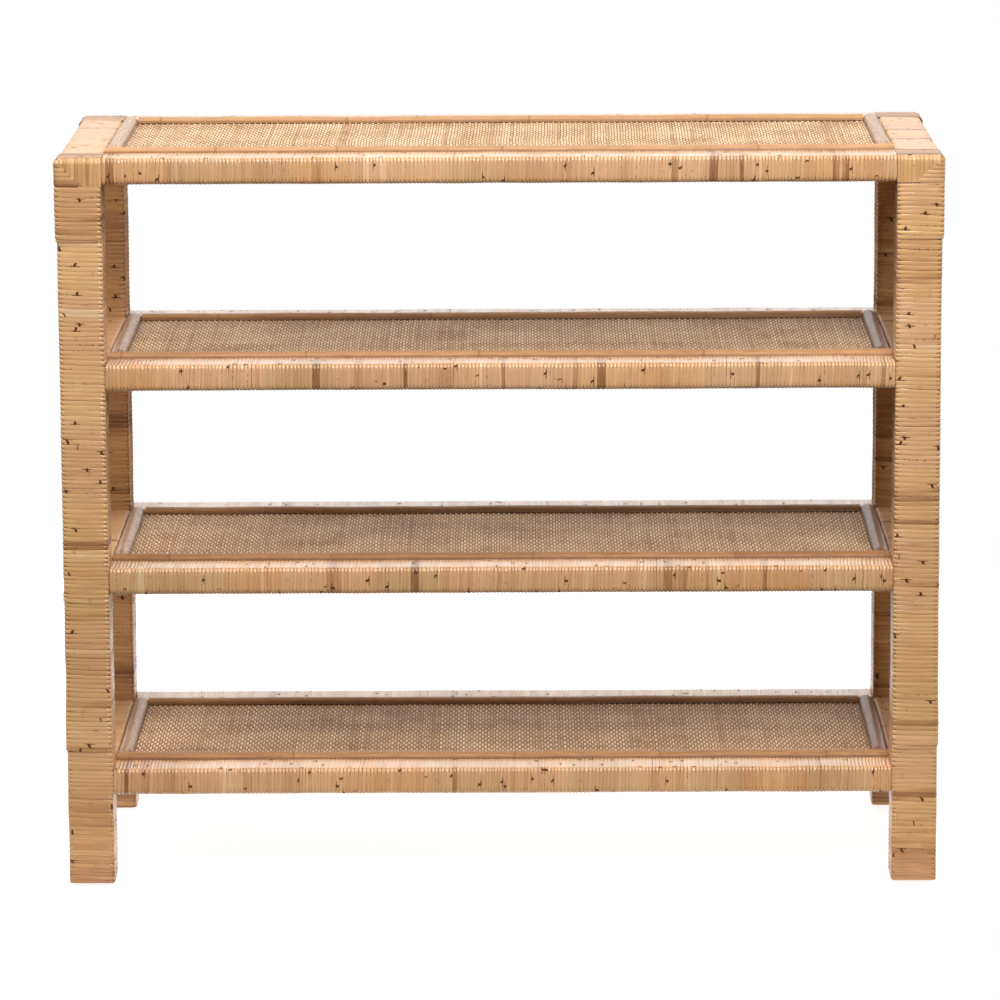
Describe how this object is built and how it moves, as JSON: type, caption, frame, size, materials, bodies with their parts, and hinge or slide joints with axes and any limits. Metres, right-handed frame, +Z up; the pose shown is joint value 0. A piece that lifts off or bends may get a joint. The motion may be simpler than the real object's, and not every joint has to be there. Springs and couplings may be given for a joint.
{
  "type": "open shoe rack",
  "caption": "Open four-tier shoe rack: rattan-bound timber posts and rails carry woven cane shelves edged with split-pole trims, standing on nail-on glides.",
  "frame": {"origin": "on the floor, below the middle of the rack", "axes": "+Z up, +X along the shelves to the viewer's right, the front faces -Y"},
  "size_m": [1, 0.4, 0.85],
  "materials": {
    "rattan_peel": "satin lacquer",
    "woven_cane": "satin lacquer",
    "split_pole": "satin lacquer",
    "split_pole_grey": "satin lacquer",
    "timber": "sawn",
    "plywood": "sanded",
    "steel": "plain",
    "glide_plastic": "moulded"
  },
  "bodies": {
    "root": {"post_core_front_left": "timber", "post_wrap_front_left": "rattan_peel", "post_core_front_right": "timber", "post_wrap_front_right": "rattan_peel", "post_core_back_left": "timber", "post_wrap_back_left": "rattan_peel", "post_core_back_right": "timber", "post_wrap_back_right": "rattan_peel", "rail_core_top_front": "timber", "rail_wrap_top_front": "rattan_peel", "rail_core_top_back": "timber", "rail_wrap_top_back": "rattan_peel", "rail_core_top_left": "timber", "rail_wrap_top_left": "rattan_peel", "rail_core_top_right": "timber", "rail_wrap_top_right": "rattan_peel", "shelf_board_top": "plywood", "cane_mat_top": "woven_cane", "long_trims_top": "split_pole", "end_rods_top": "split_pole_grey", "rail_core_upper_front": "timber", "rail_wrap_upper_front": "rattan_peel", "rail_core_upper_back": "timber", "rail_wrap_upper_back": "rattan_peel", "rail_core_upper_left": "timber", "rail_wrap_upper_left": "rattan_peel", "rail_core_upper_right": "timber", "rail_wrap_upper_right": "rattan_peel", "shelf_board_upper": "plywood", "cane_mat_upper": "woven_cane", "long_trims_upper": "split_pole", "end_rods_upper": "split_pole_grey", "rail_core_middle_front": "timber", "rail_wrap_middle_front": "rattan_peel", "rail_core_middle_back": "timber", "rail_wrap_middle_back": "rattan_peel", "rail_core_middle_left": "timber", "rail_wrap_middle_left": "rattan_peel", "rail_core_middle_right": "timber", "rail_wrap_middle_right": "rattan_peel", "shelf_board_middle": "plywood", "cane_mat_middle": "woven_cane", "long_trims_middle": "split_pole", "end_rods_middle": "split_pole_grey", "rail_core_lower_front": "timber", "rail_wrap_lower_front": "rattan_peel", "rail_core_lower_back": "timber", "rail_wrap_lower_back": "rattan_peel", "rail_core_lower_left": "timber", "rail_wrap_lower_left": "rattan_peel", "rail_core_lower_right": "timber", "rail_wrap_lower_right": "rattan_peel", "shelf_board_lower": "plywood", "cane_mat_lower": "woven_cane", "long_trims_lower": "split_pole", "end_rods_lower": "split_pole_grey", "shelf_cleats": "timber", "rail_dowels": "timber", "trim_brads": "steel", "foot_glides": "glide_plastic"}
  },
  "joints": []
}
